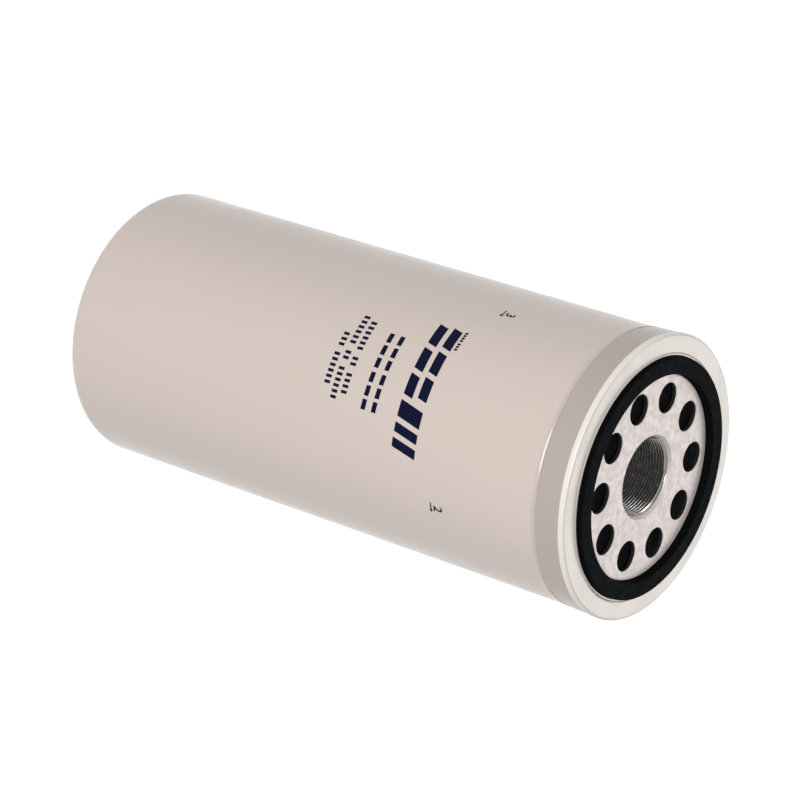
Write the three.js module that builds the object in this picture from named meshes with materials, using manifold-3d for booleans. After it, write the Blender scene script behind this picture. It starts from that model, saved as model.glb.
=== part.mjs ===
// Spin-on oil filter: a drawn steel can with a seamed lid, a threaded base plate and a sealing
// gasket, holding a pleated element, an anti-drainback valve, a bypass valve and their springs.
// Millimetres. +Z runs along the thread axis towards the open, threaded end. The filter stands
// on its closed end, at z = 0, with the axis through the origin.
import * as THREE from 'three';
import { mergeVertices } from 'three/addons/utils/BufferGeometryUtils.js';
import Module from 'manifold-3d';

const wasm = await Module();
wasm.setup();

// Fits between neighbours
const seatGap = 0.3; // pieces that touch face to face
const slideGap = 0.7; // the drainback valve on the hub

// Can
const bodyRadius = 68;
const bodyLength = 305; // closed end to lid plane
const canWall = 0.9;
const baseCornerRadius = 8;
const baseRecess = 2;
const baseRecessRadius = 44;
const baseRecessRamp = 3;
const neckBandHeight = 16.5; // crease to lid plane
const creaseDepth = 0.45;
const creaseHalfWidth = 1.2;
const rimFlare = 1.1; // rim radius beyond the body radius
const rimFillet = 1.6;

// Sealing gasket
const lidRingWidth = 10.7; // rim to gasket
const gasketWidth = 8.2;
const gasketHeight = 6.5;
const gasketProud = 2.6; // above the lid plane
const gasketCorner = 1.4;

// Seaming lid
const lidSheet = 1;
const gasketSideGap = 0.6;
const lidLipChamfer = 0.4;
const lidEdgeChamfer = 0.6;
const lidHookDepth = 3.5;

// Base plate
const plateSheet = 2.5;
const plateDrop = 1.2; // boss face below the lid plane
const plateStepWall = 1.9;
const plateEdgeSpace = 2.6; // plate edge to the inside of the can
const plateChamfer = 0.5;
const portCount = 10;
const portRadius = 7.4;
const portEdgeSpace = 2.5; // port edge to the step in the plate
const portStartAngle = THREE.MathUtils.degToRad(6.3);

// Thread, 1 1/2 inch with 16 turns per inch
const threadMajorRadius = 19.05;
const threadPitch = 1.5875;
const threadDepth = 0.86;
const leadInWidth = 1.55; // chamfer beyond the thread's major radius
const hubWall = 3.4;
const hubLength = 26;
const hubChamfer = 1;

// Anti-drainback valve
const valveOuterSpace = 1.4; // valve lip to the step in the plate
const valveLipWidth = 1;
const valveLipHeight = 1.7;
const valveThickness = 1.2;
const valveNeckWall = 2.6;
const valveNeckDepth = 2.4;
const drainbackTravel = 1.8;
const drainbackSpace = 0.9; // left under the open valve

// Inner seal
const grommetWall = 3.8;
const grommetFlange = 1.5;
const grommetFlangeReach = 3;
const grommetLength = 7;

// Element
const elementSpace = 6.4; // element to the inside of the can
const capSheet = 0.8;
const capRimHeight = 6;
const capCollarLength = 8;
const pottingThickness = 2;
const pleatCount = 36;
const paperThickness = 0.6;
const tubeWall = 0.8;
const tubeGap = 1; // centre tube to the collar
const slotWidth = 8;
const slotHeight = 20;
const slotPitch = 36;
const slotsPerRow = 6;
const beadThickness = 0.8;
const beadHeight = 3;
const beadOpening = THREE.MathUtils.degToRad(5); // each side of the seam clip
const clipSheet = 0.5;
const clipReach = 5;
const clipInset = 6; // from each end of the pleats

// Bypass valve
const bypassPortRadius = 12;
const washerWidth = 5.3;
const washerThickness = 1.5;
const poppetInset = 1.2; // poppet edge inside the washer's edge
const poppetThickness = 1.2;
const stemRadius = 2.5;
const stemGap = 0.5;
const cageSpace = 0.8; // washer to cage
const cageWall = 1;
const cageFlangeWidth = 4.6;
const cageHeight = 24;
const windowWidth = 14;
const windowHeight = 10;
const bypassSpringRadius = 9;
const bypassWireRadius = 0.9;
const bypassSpringTurns = 3.5;
const bypassTravel = 4;

// Element spring
const springHeight = 24.8;
const springBottomRadius = 36;
const springTopRadius = 30;
const springWireRadius = 1.6;
const springTurns = 3;

// Facets round a full turn
const bodyFacets = 40;
const threadFacets = 28;
const valveFacets = 24;
const portFacets = 16;
const wireFacets = 6;

const cutPast = 2; // how far a cutting shape runs past the face that it cuts

// Places along the axis, from the lid down
const lidPlane = bodyLength;
const rimRadius = bodyRadius + rimFlare;
const canInnerRadius = bodyRadius - canWall;
const creaseZ = lidPlane - neckBandHeight;
const gasketTop = lidPlane + gasketProud;
const gasketBottom = gasketTop - gasketHeight;
const gasketOuterRadius = rimRadius - lidRingWidth;
const gasketInnerRadius = gasketOuterRadius - gasketWidth;
const channelFloor = gasketBottom - seatGap;
const channelRadius = gasketOuterRadius + gasketSideGap;
const lidWallRadius = channelRadius + lidSheet;
const foldInnerRadius = lidWallRadius + seatGap;
const bossTop = lidPlane - plateDrop;
const bossUnderside = bossTop - plateSheet;
const bossRadius = gasketInnerRadius - seatGap;
const stepInnerRadius = bossRadius - plateStepWall;
const flangeTop = channelFloor - lidSheet - seatGap;
const flangeBottom = flangeTop - plateSheet;
const plateRadius = canInnerRadius - plateEdgeSpace;
const portCircleRadius = stepInnerRadius - portEdgeSpace - portRadius;
const leadInRadius = threadMajorRadius + leadInWidth;
const hubRadius = threadMajorRadius + hubWall;
const hubBottom = bossTop - hubLength;
const valveTop = bossUnderside - seatGap;
const valveDiscTop = valveTop - valveLipHeight;
const valveDiscBottom = valveDiscTop - valveThickness;
const valveBottom = valveDiscBottom - valveNeckDepth;
const grommetTop = valveBottom - drainbackTravel - drainbackSpace;
const elementTop = grommetTop - grommetFlange - seatGap;
const grommetInnerRadius = hubRadius + seatGap;
const grommetOuterRadius = grommetInnerRadius + grommetWall;
const collarRadius = grommetOuterRadius + seatGap;

// Places along the axis, from the closed end up
const springBottom = baseRecess + canWall + seatGap;
const springTop = springBottom + springHeight;
const elementBottom = springTop + seatGap;
const capFloor = elementBottom + capSheet;
const bottomPottingBase = capFloor + seatGap;
const mediaBottom = bottomPottingBase + pottingThickness + seatGap;
const capCeiling = elementTop - capSheet;
const topPottingBase = capCeiling - seatGap - pottingThickness;
const mediaTop = topPottingBase - seatGap;

// Element radii
const elementRadius = canInnerRadius - elementSpace;
const pottingRadius = elementRadius - capSheet - seatGap;
const tubeInnerRadius = collarRadius + capSheet + tubeGap;
const tubeOuterRadius = tubeInnerRadius + tubeWall;
const pleatTipRadius = pottingRadius - beadThickness;
const pleatRootRadius = tubeOuterRadius + seatGap;

// Bypass valve places
const washerInnerRadius = bypassPortRadius + seatGap;
const washerOuterRadius = washerInnerRadius + washerWidth;
const poppetRadius = washerOuterRadius - poppetInset;
const cageInnerRadius = washerOuterRadius + cageSpace;
const washerTop = bottomPottingBase + washerThickness;
const poppetBottom = washerTop + seatGap;
const poppetTop = poppetBottom + poppetThickness;
const cageTop = bottomPottingBase + cageHeight;
const cageCeiling = cageTop - cageWall;
const stemTop = cageTop + cageWall;

const point = (r, z) => new THREE.Vector2(r, z);

// Points of an arc in the profile plane, ends included; angles in quarter turns.
function arc(centreR, centreZ, radius, fromQuarter, toQuarter, steps) {
  return Array.from({ length: steps + 1 }, (_, i) => {
    const angle = (fromQuarter + ((toQuarter - fromQuarter) * i) / steps) * (Math.PI / 2);
    return point(centreR + radius * Math.cos(angle), centreZ + radius * Math.sin(angle));
  });
}

// Turns a profile of (radius, height) points about Z. The points run anticlockwise, with the
// material on their left. A profile that doesn't start on the axis is closed on itself.
function revolve(profile, facets) {
  const onAxis = profile[0].x === 0;
  const points = onAxis ? profile : [...profile, profile[0].clone()];
  return new THREE.LatheGeometry(points, facets).rotateX(Math.PI / 2);
}

function extrude(shape, bottom, height, curveSegments = 12) {
  const options = { depth: height, bevelEnabled: false, curveSegments };
  return new THREE.ExtrudeGeometry(shape, options).translate(0, 0, bottom);
}

function toSolid(geometry) {
  const bare = geometry.clone();
  bare.deleteAttribute('normal');
  bare.deleteAttribute('uv');
  const merged = mergeVertices(bare, 1e-4);
  return new wasm.Manifold(new wasm.Mesh({
    numProp: 3,
    vertProperties: new Float32Array(merged.attributes.position.array),
    triVerts: new Uint32Array(merged.index.array),
  }));
}

function cut(geometry, tools) {
  const solid = tools.reduce((rest, tool) => rest.subtract(toSolid(tool)), toSolid(geometry));
  const mesh = solid.getMesh();
  const result = new THREE.BufferGeometry();
  result.setAttribute('position', new THREE.BufferAttribute(mesh.vertProperties, 3));
  result.setIndex(new THREE.BufferAttribute(mesh.triVerts, 1));
  result.computeVertexNormals();
  return result;
}

// A stud with a helical V thread, used to cut the nut thread. Crest and root follow each other
// half a pitch apart; each column of points is one facet further round and climbs with the helix.
function threadStud(bottom, top) {
  const rows = 2 * Math.ceil((top - bottom) / threadPitch + 2);
  const baseZ = bottom - threadPitch;
  const vertices = [];
  const triangles = [];
  const column = [];
  for (let j = 0; j <= threadFacets; j += 1) {
    column.push([]);
    for (let k = 0; k <= rows; k += 1) {
      const wraps = j === threadFacets && k + 2 <= rows;
      if (wraps) {
        column[j].push(column[0][k + 2]);
      } else {
        const angle = (2 * Math.PI * (j % threadFacets)) / threadFacets;
        const radius = k % 2 ? threadMajorRadius : threadMajorRadius - threadDepth;
        const height = baseZ + threadPitch * (k / 2 + j / threadFacets);
        column[j].push(vertices.length / 3);
        vertices.push(radius * Math.cos(angle), radius * Math.sin(angle), height);
      }
    }
  }
  const bottomCentre = vertices.length / 3;
  vertices.push(0, 0, baseZ);
  const topCentre = bottomCentre + 1;
  vertices.push(0, 0, baseZ + threadPitch * (rows / 2 + 1));
  for (let j = 0; j < threadFacets; j += 1) {
    for (let k = 0; k < rows; k += 1) {
      const [a, b] = [column[j][k], column[j + 1][k]];
      const [c, d] = [column[j + 1][k + 1], column[j][k + 1]];
      triangles.push(a, b, c, a, c, d);
    }
    triangles.push(column[j + 1][0], column[j][0], bottomCentre);
    triangles.push(column[j][rows], column[j + 1][rows], topCentre);
  }
  for (let k = 0; k < 2; k += 1) {
    triangles.push(column[0][k], column[0][k + 1], bottomCentre);
    const high = column[threadFacets];
    triangles.push(high[rows - k], high[rows - k - 1], topCentre);
  }
  const geometry = new THREE.BufferGeometry();
  geometry.setAttribute('position', new THREE.Float32BufferAttribute(vertices, 3));
  geometry.setIndex(triangles);
  return geometry;
}

// A round wire wound from one radius and height to another.
class Helix extends THREE.Curve {
  constructor(bottomRadius, topRadius, bottom, top, turns) {
    super();
    Object.assign(this, { bottomRadius, topRadius, bottom, top, turns });
  }

  getPoint(t, target = new THREE.Vector3()) {
    const angle = 2 * Math.PI * this.turns * t;
    const radius = THREE.MathUtils.lerp(this.bottomRadius, this.topRadius, t);
    const height = THREE.MathUtils.lerp(this.bottom, this.top, t);
    return target.set(radius * Math.cos(angle), radius * Math.sin(angle), height);
  }
}

function coilSpring(bottomRadius, topRadius, bottom, top, turns, wireRadius) {
  const section = new THREE.Shape(Array.from({ length: wireFacets }, (_, i) => {
    const angle = (2 * Math.PI * i) / wireFacets;
    return point(wireRadius * Math.cos(angle), wireRadius * Math.sin(angle));
  }));
  const path = new Helix(
    bottomRadius, topRadius, bottom + wireRadius, top - wireRadius, turns,
  );
  const steps = Math.round(18 * turns);
  return new THREE.ExtrudeGeometry(section, { steps, bevelEnabled: false, extrudePath: path });
}

function canShell() {
  const rampEnd = baseRecessRadius + baseRecessRamp;
  const cornerR = bodyRadius - baseCornerRadius;
  const creaseLow = creaseZ - creaseHalfWidth;
  const creaseHigh = creaseZ + creaseHalfWidth;
  return revolve([
    point(0, baseRecess),
    point(baseRecessRadius, baseRecess),
    point(rampEnd, 0),
    ...arc(cornerR, baseCornerRadius, baseCornerRadius, -1, 0, 4),
    point(bodyRadius, creaseLow),
    point(bodyRadius - creaseDepth, creaseZ),
    point(bodyRadius, creaseHigh),
    ...arc(rimRadius - rimFillet, lidPlane - rimFillet, rimFillet, 0, 1, 3),
    point(foldInnerRadius, lidPlane),
    point(foldInnerRadius, lidPlane - canWall),
    point(rimRadius - rimFillet, lidPlane - canWall),
    point(rimRadius - canWall, lidPlane - rimFillet),
    point(canInnerRadius, creaseHigh),
    point(canInnerRadius - creaseDepth, creaseZ),
    point(canInnerRadius, creaseLow),
    ...arc(cornerR, baseCornerRadius, baseCornerRadius - canWall, 0, -1, 3),
    point(rampEnd, canWall),
    point(baseRecessRadius, baseRecess + canWall),
    point(0, baseRecess + canWall),
  ], bodyFacets);
}

function seamingLid() {
  const flangeFace = lidPlane - canWall - seatGap;
  const hookRadius = rimRadius - canWall - 2 * seatGap;
  const hookEnd = flangeFace - lidHookDepth;
  return revolve([
    point(bossRadius + seatGap, channelFloor - lidSheet),
    point(lidWallRadius, channelFloor - lidSheet),
    point(lidWallRadius, flangeFace - lidSheet),
    point(hookRadius - lidSheet, flangeFace - lidSheet),
    point(hookRadius - lidSheet, hookEnd),
    point(hookRadius, hookEnd),
    point(hookRadius, flangeFace - lidEdgeChamfer),
    point(hookRadius - lidEdgeChamfer, flangeFace),
    point(lidWallRadius, flangeFace),
    point(lidWallRadius, lidPlane),
    point(channelRadius + lidLipChamfer, lidPlane),
    point(channelRadius, lidPlane - lidLipChamfer),
    point(channelRadius, channelFloor),
    point(bossRadius + seatGap, channelFloor),
  ], bodyFacets);
}

function basePlate() {
  const blank = revolve([
    point(0, hubBottom),
    point(hubRadius - hubChamfer, hubBottom),
    point(hubRadius, hubBottom + hubChamfer),
    point(hubRadius, bossUnderside),
    point(stepInnerRadius, bossUnderside),
    point(stepInnerRadius, flangeBottom),
    point(plateRadius, flangeBottom),
    point(plateRadius, flangeTop),
    point(bossRadius, flangeTop),
    point(bossRadius, bossTop - plateChamfer),
    point(bossRadius - plateChamfer, bossTop),
    point(0, bossTop),
  ], bodyFacets);
  const leadIn = revolve([
    point(0, bossTop - leadInRadius),
    point(leadInRadius + cutPast, bossTop + cutPast),
    point(0, bossTop + cutPast),
  ], bodyFacets);
  const ports = Array.from({ length: portCount }, (_, i) => {
    const angle = portStartAngle + (2 * Math.PI * i) / portCount;
    const length = plateSheet + 2 * cutPast;
    const drill = new THREE.CylinderGeometry(portRadius, portRadius, length, portFacets);
    drill.rotateX(Math.PI / 2).rotateZ(angle);
    const [x, y] = [portCircleRadius * Math.cos(angle), portCircleRadius * Math.sin(angle)];
    return drill.translate(x, y, bossTop - plateSheet / 2);
  });
  return cut(blank, [threadStud(hubBottom, bossTop), leadIn, ...ports]);
}

function sealingGasket() {
  const low = gasketBottom + gasketCorner;
  const high = gasketTop - gasketCorner;
  return revolve([
    ...arc(gasketOuterRadius - gasketCorner, low, gasketCorner, -1, 0, 1),
    ...arc(gasketOuterRadius - gasketCorner, high, gasketCorner, 0, 1, 2),
    ...arc(gasketInnerRadius + gasketCorner, high, gasketCorner, 1, 2, 2),
    ...arc(gasketInnerRadius + gasketCorner, low, gasketCorner, 2, 3, 1),
  ], bodyFacets);
}

function drainbackValve() {
  const outer = stepInnerRadius - valveOuterSpace;
  const inner = hubRadius + slideGap;
  const neck = inner + valveNeckWall;
  return revolve([
    point(inner, valveBottom),
    point(neck, valveBottom),
    point(neck + valveThickness, valveDiscBottom),
    point(outer - 1.5 * valveLipWidth, valveDiscBottom),
    point(outer, valveTop),
    point(outer - valveLipWidth, valveTop),
    point(outer - valveLipHeight - valveLipWidth, valveDiscTop),
    point(neck + valveThickness, valveDiscTop),
    point(neck, valveTop - seatGap),
    point(inner, valveTop - seatGap),
  ], bodyFacets);
}

function innerSeal() {
  const flangeBase = elementTop + seatGap;
  return revolve([
    point(grommetInnerRadius, grommetTop - grommetFlange - grommetLength),
    point(grommetOuterRadius, grommetTop - grommetFlange - grommetLength),
    point(grommetOuterRadius, flangeBase),
    point(grommetOuterRadius + grommetFlangeReach, flangeBase),
    point(grommetOuterRadius + grommetFlangeReach, grommetTop),
    point(grommetInnerRadius, grommetTop),
  ], bodyFacets);
}

function topEndCap() {
  return revolve([
    point(collarRadius, elementTop - capCollarLength),
    point(collarRadius + capSheet, elementTop - capCollarLength),
    point(collarRadius + capSheet, capCeiling),
    point(elementRadius - capSheet, capCeiling),
    point(elementRadius - capSheet, elementTop - capRimHeight),
    point(elementRadius, elementTop - capRimHeight),
    point(elementRadius, elementTop),
    point(collarRadius, elementTop),
  ], bodyFacets);
}

function bottomEndCap() {
  return revolve([
    point(bypassPortRadius, elementBottom),
    point(elementRadius, elementBottom),
    point(elementRadius, elementBottom + capRimHeight),
    point(elementRadius - capSheet, elementBottom + capRimHeight),
    point(elementRadius - capSheet, capFloor),
    point(bypassPortRadius, capFloor),
  ], bodyFacets);
}

function ring(innerRadius, outerRadius, bottom, height, facets) {
  return revolve([
    point(innerRadius, bottom),
    point(outerRadius, bottom),
    point(outerRadius, bottom + height),
    point(innerRadius, bottom + height),
  ], facets);
}

// Half the width of the paper side of a pleat at one radius, counted from the fold at the tip.
function pleatSpread(radius) {
  const share = (pleatTipRadius - radius) / (pleatTipRadius - pleatRootRadius);
  return (Math.PI / pleatCount) * share * radius;
}

// The paper folded into pleats: each leg keeps its thickness between a tip and a root.
function pleatedMedia() {
  const halfPitch = Math.PI / pleatCount;
  const half = paperThickness / 2;
  const depth = pleatTipRadius - pleatRootRadius;
  const tipFill = (half * depth) / (halfPitch * pleatTipRadius);
  const rootFill = (half * depth) / (halfPitch * (pleatRootRadius + paperThickness));
  const at = (radius, angle) => point(radius * Math.cos(angle), radius * Math.sin(angle));
  const outside = [];
  const inside = [];
  for (let i = 0; i < pleatCount; i += 1) {
    const tip = 2 * halfPitch * i;
    const root = tip + halfPitch;
    const tipHalf = half / pleatTipRadius;
    const rootHalf = half / pleatRootRadius;
    outside.push(at(pleatTipRadius, tip - tipHalf), at(pleatTipRadius, tip + tipHalf));
    outside.push(at(pleatRootRadius + rootFill, root));
    inside.push(at(pleatTipRadius - tipFill, tip));
    inside.push(at(pleatRootRadius, root - rootHalf), at(pleatRootRadius, root + rootHalf));
  }
  const shape = new THREE.Shape(outside);
  shape.holes.push(new THREE.Path(inside));
  return extrude(shape, mediaBottom, mediaTop - mediaBottom);
}

// A folded strip that closes the pleat pack, over the tip of the first pleat.
function seamClip() {
  const end = pleatTipRadius - clipReach;
  const innerHalf = pleatSpread(end) + paperThickness / 2 + seatGap;
  const outerHalf = innerHalf + clipSheet;
  const face = pleatTipRadius + seatGap;
  const shape = new THREE.Shape([
    point(end, -outerHalf),
    point(face + clipSheet, -outerHalf),
    point(face + clipSheet, outerHalf),
    point(end, outerHalf),
    point(end, innerHalf),
    point(face, innerHalf),
    point(face, -innerHalf),
    point(end, -innerHalf),
  ]);
  return extrude(shape, mediaBottom + clipInset, mediaTop - mediaBottom - 2 * clipInset);
}

// A glue bead round the pleat tips, open where the seam clip runs.
function pleatBead(centre) {
  const inner = pleatTipRadius + seatGap;
  const outer = inner + beadThickness - seatGap;
  const shape = new THREE.Shape();
  shape.absarc(0, 0, outer, beadOpening, 2 * Math.PI - beadOpening, false);
  shape.absarc(0, 0, inner, 2 * Math.PI - beadOpening, beadOpening, true);
  shape.closePath();
  return extrude(shape, centre - beadHeight / 2, beadHeight, valveFacets);
}

function centreTube() {
  const length = mediaTop - mediaBottom;
  const rows = Math.floor((length - slotPitch + slotHeight) / slotPitch);
  const slots = [];
  for (let row = 0; row < rows; row += 1) {
    const height = (mediaBottom + mediaTop) / 2 + (row - (rows - 1) / 2) * slotPitch;
    for (let i = 0; i < slotsPerRow / 2; i += 1) {
      const turn = (2 * Math.PI * (i + (row % 2) / 2)) / slotsPerRow;
      const slot = new THREE.BoxGeometry(3 * tubeOuterRadius, slotWidth, slotHeight);
      slots.push(slot.rotateZ(turn).translate(0, 0, height));
    }
  }
  return cut(ring(tubeInnerRadius, tubeOuterRadius, mediaBottom, length, bodyFacets), slots);
}

function bypassPoppet() {
  return revolve([
    point(0, poppetBottom),
    point(poppetRadius, poppetBottom),
    point(poppetRadius, poppetTop),
    point(stemRadius, poppetTop),
    point(stemRadius, stemTop),
    point(0, stemTop),
  ], valveFacets);
}

function bypassCage() {
  const outer = cageInnerRadius + cageWall;
  const shell = revolve([
    point(cageInnerRadius, bottomPottingBase),
    point(outer + cageFlangeWidth, bottomPottingBase),
    point(outer + cageFlangeWidth, bottomPottingBase + cageWall),
    point(outer, bottomPottingBase + cageWall),
    point(outer, cageTop),
    point(stemRadius + stemGap, cageTop),
    point(stemRadius + stemGap, cageCeiling),
    point(cageInnerRadius, cageCeiling),
  ], valveFacets);
  const windowZ = (bottomPottingBase + cageTop) / 2;
  const windows = [0, 1].map((i) => new THREE.BoxGeometry(3 * outer, windowWidth, windowHeight)
    .rotateZ((Math.PI / 2) * i).translate(0, 0, windowZ));
  return cut(shell, windows);
}

const paint = { color: 0xd9ccc4, roughness: 0.25, metalness: 0 };
const bareSteel = { color: 0xcfc9c6, roughness: 0.45, metalness: 1 };
const tinnedSteel = { color: 0xb9bbb8, roughness: 0.35, metalness: 1 };
const springSteel = { color: 0x6f7074, roughness: 0.4, metalness: 1 };
const blackRubber = { color: 0x15161a, roughness: 0.5, metalness: 0 };
const brownRubber = { color: 0x3a2218, roughness: 0.6, metalness: 0 };
const paper = { color: 0xd8c08a, roughness: 0.9, metalness: 0 };
const adhesive = { color: 0xe6e0cf, roughness: 0.55, metalness: 0 };

const filter = new THREE.Group();

function add(group, name, geometry, finish) {
  const mesh = new THREE.Mesh(geometry, new THREE.MeshStandardMaterial(finish));
  mesh.name = name;
  group.add(mesh);
}

const housing = new THREE.Group();
add(housing, 'can_shell', canShell(), paint);
add(housing, 'seaming_lid', seamingLid(), paint);
add(housing, 'base_plate', basePlate(), bareSteel);
add(housing, 'sealing_gasket', sealingGasket(), blackRubber);
add(housing, 'anti_drainback_valve', drainbackValve(), blackRubber);
add(housing, 'element_spring', coilSpring(
  springBottomRadius, springTopRadius, springBottom, springTop, springTurns, springWireRadius,
), springSteel);

const element = new THREE.Group();
add(element, 'inner_seal_grommet', innerSeal(), brownRubber);
add(element, 'top_end_cap', topEndCap(), tinnedSteel);
add(element, 'bottom_end_cap', bottomEndCap(), tinnedSteel);
add(element, 'center_tube', centreTube(), tinnedSteel);
add(element, 'pleated_media', pleatedMedia(), paper);
add(element, 'media_seam_clip', seamClip(), tinnedSteel);
const pottingInnerRadius = tubeInnerRadius - seatGap;
for (const [name, bottom] of [['top', topPottingBase], ['bottom', bottomPottingBase]]) {
  const body = ring(pottingInnerRadius, pottingRadius, bottom, pottingThickness, bodyFacets);
  add(element, `${name}_potting`, body, adhesive);
}
['lower', 'middle', 'upper'].forEach((name, i) => {
  const centre = THREE.MathUtils.lerp(mediaBottom, mediaTop, (i + 1) / 4);
  add(element, `pleat_bead_${name}`, pleatBead(centre), adhesive);
});

const bypass = new THREE.Group();
const washer = ring(
  washerInnerRadius, washerOuterRadius, bottomPottingBase, washerThickness, valveFacets,
);
add(bypass, 'bypass_seat_washer', washer, blackRubber);
add(bypass, 'bypass_poppet', bypassPoppet(), tinnedSteel);
add(bypass, 'bypass_cage', bypassCage(), tinnedSteel);
add(bypass, 'bypass_spring', coilSpring(
  bypassSpringRadius, bypassSpringRadius, poppetTop + seatGap, cageCeiling - seatGap,
  bypassSpringTurns, bypassWireRadius,
), springSteel);
element.add(bypass);

filter.add(housing, element);

export default filter;
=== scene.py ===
import math

import bmesh
import bpy
from mathutils import Matrix, Vector


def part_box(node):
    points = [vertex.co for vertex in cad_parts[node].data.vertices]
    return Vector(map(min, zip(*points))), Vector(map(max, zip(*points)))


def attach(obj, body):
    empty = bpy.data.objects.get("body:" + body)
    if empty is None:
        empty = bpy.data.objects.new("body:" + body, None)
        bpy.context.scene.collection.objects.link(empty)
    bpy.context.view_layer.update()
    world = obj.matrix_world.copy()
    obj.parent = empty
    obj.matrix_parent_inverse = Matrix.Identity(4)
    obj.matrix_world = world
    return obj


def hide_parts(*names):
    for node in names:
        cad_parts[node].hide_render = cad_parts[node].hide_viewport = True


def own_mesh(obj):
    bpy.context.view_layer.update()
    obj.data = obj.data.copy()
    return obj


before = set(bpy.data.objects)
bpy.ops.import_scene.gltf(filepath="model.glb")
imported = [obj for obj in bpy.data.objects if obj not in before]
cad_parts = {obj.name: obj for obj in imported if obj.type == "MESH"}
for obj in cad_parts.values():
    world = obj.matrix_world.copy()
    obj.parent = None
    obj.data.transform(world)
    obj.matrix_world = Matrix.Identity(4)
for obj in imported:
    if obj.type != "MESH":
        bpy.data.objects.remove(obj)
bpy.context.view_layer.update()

MM = 0.001
SCENE = bpy.context.scene


def sizes(node):
    """(inner radius, outer radius, lowest, highest) of a round CAD node, in millimetres."""
    radii = [math.hypot(v.co.x, v.co.y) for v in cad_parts[node].data.vertices]
    low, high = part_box(node)
    return [round(size / MM, 3) for size in (min(radii), max(radii), low.z, high.z)]


# Sizes that the CAD model gives
_, RIM, _, LID = sizes("can_shell")
GASKET_IN, GASKET_OUT, GASKET_LOW, GASKET_TOP = sizes("sealing_gasket")
THREAD_MINOR, PLATE_EDGE, HUB_LOW, BOSS_TOP = sizes("base_plate")
LID_IN, LID_HOOK, _, _ = sizes("seaming_lid")
VALVE_IN, VALVE_OUT, VALVE_LOW, VALVE_TOP = sizes("anti_drainback_valve")
GROMMET_IN, GROMMET_REACH, GROMMET_LOW, GROMMET_TOP = sizes("inner_seal_grommet")
CAP_COLLAR, CAP_EDGE, COLLAR_LOW, CAP_TOP = sizes("top_end_cap")
BYPASS_PORT, _, CAP_LOW, CAP_RIM_TOP = sizes("bottom_end_cap")
POTTING_IN, POTTING_OUT, POTTING_LOW, POTTING_HIGH = sizes("bottom_potting")
_, _, TOP_POTTING_LOW, TOP_POTTING_HIGH = sizes("top_potting")
WASHER_IN, WASHER_OUT, WASHER_LOW, WASHER_TOP = sizes("bypass_seat_washer")
_, POPPET_OUT, POPPET_LOW, STEM_TOP = sizes("bypass_poppet")
_, _, SPRING_LOW, SPRING_TOP = sizes("element_spring")
_, _, BYPASS_SPRING_LOW, BYPASS_SPRING_TOP = sizes("bypass_spring")

# Can
BODY = RIM - 1.1  # radius of the can's side
CAN_WALL = 0.9
CAN_IN = BODY - CAN_WALL
BASE_CORNER = 8
BASE_RECESS = 2
BASE_RECESS_RADIUS = 44
BASE_RAMP = 3
CREASE = LID - 16.5
CREASE_DEPTH = 0.4
CREASE_REACH = 0.95  # from the middle of the crease to the top of the swell beside it
BULGE = 0.35  # how far the can swells on both sides of the crease
ROLL = 2.9  # depth of the rolled seam's lower edge below the lid plane
ROLL_STEP = 0.3
RIM_FILLET = 1.6

# Lid and gasket
SHEET = 1
GASKET_CORNER = 1.4  # the two corners down in the channel
TOP_CORNER = 0.5
CHANNEL = GASKET_OUT + 0.25
LID_WALL = CHANNEL + SHEET
FOLD = LID_WALL + 0.15  # inner edge of the can, where it is folded over the lid
CHANNEL_FLOOR = GASKET_LOW - 0.3
HOOK_DEPTH = 3.5

# Base plate
PLATE_SHEET = 2.5
BOSS = GASKET_IN - 0.3
STEP = BOSS - 1.9
BOSS_UNDER = BOSS_TOP - PLATE_SHEET
FLANGE_TOP = CHANNEL_FLOOR - SHEET - 0.3
PORTS = 10
PORT = 7.4  # radius of an inlet port
PORT_CIRCLE = STEP - 2.5 - PORT
PORT_START = math.radians(6.3)  # angle of the first port
PITCH = 1.5875  # 16 threads to the inch
THREAD_DEPTH = 0.86
THREAD_MAJOR = THREAD_MINOR + THREAD_DEPTH
ROOT_FLAT = 1 / 16  # half the width of a thread's root, in pitches
CREST_FLAT = 1 / 8
RUN_OUT = THREAD_MAJOR + 0.5  # radius of the bore's bevel at the hub's lower end
LEAD_IN = THREAD_MAJOR + 1.55  # radius of the bore's bevel at the plate's face
HUB = THREAD_MAJOR + 3.4

# Blemishes
CHIPPED = math.radians(-10)  # middle of the chipped stretch beside the fold
CHIPPED_CORE = 0.17  # radians each way that chip fully
CHIPPED_REACH = 0.27
NICK = math.radians(19)
NICK_HALF = math.radians(1.6)
NICK_DEPTH = 0.6

# How finely round pieces are divided
FINE = 256
PLATE_SEGMENTS = 144
ROUND = 96


# --- Meshes --------------------------------------------------------------------------------------

def rounded(corners, steps=6):
    """An outline whose corners, each (radius, height, fillet), are rounded by arcs."""
    outline = []
    for i, (r, z, fillet) in enumerate(corners):
        here = Vector((r, z))
        if fillet == 0:
            outline.append(here)
            continue
        back = Vector(corners[i - 1][:2]) - here
        ahead = Vector(corners[(i + 1) % len(corners)][:2]) - here
        half = back.angle(ahead) / 2
        cut = min(fillet / math.tan(half), 0.49 * back.length, 0.49 * ahead.length)
        radius = cut * math.tan(half)
        back.normalize()
        ahead.normalize()
        centre = here + (back + ahead).normalized() * radius / math.sin(half)
        first = here + back * cut - centre
        last = here + ahead * cut - centre
        start = math.atan2(first.y, first.x)
        sweep = math.remainder(math.atan2(last.y, last.x) - start, 2 * math.pi)
        for k in range(steps + 1):
            angle = start + sweep * k / steps
            outline.append(centre + radius * Vector((math.cos(angle), math.sin(angle))))
    return outline


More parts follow.
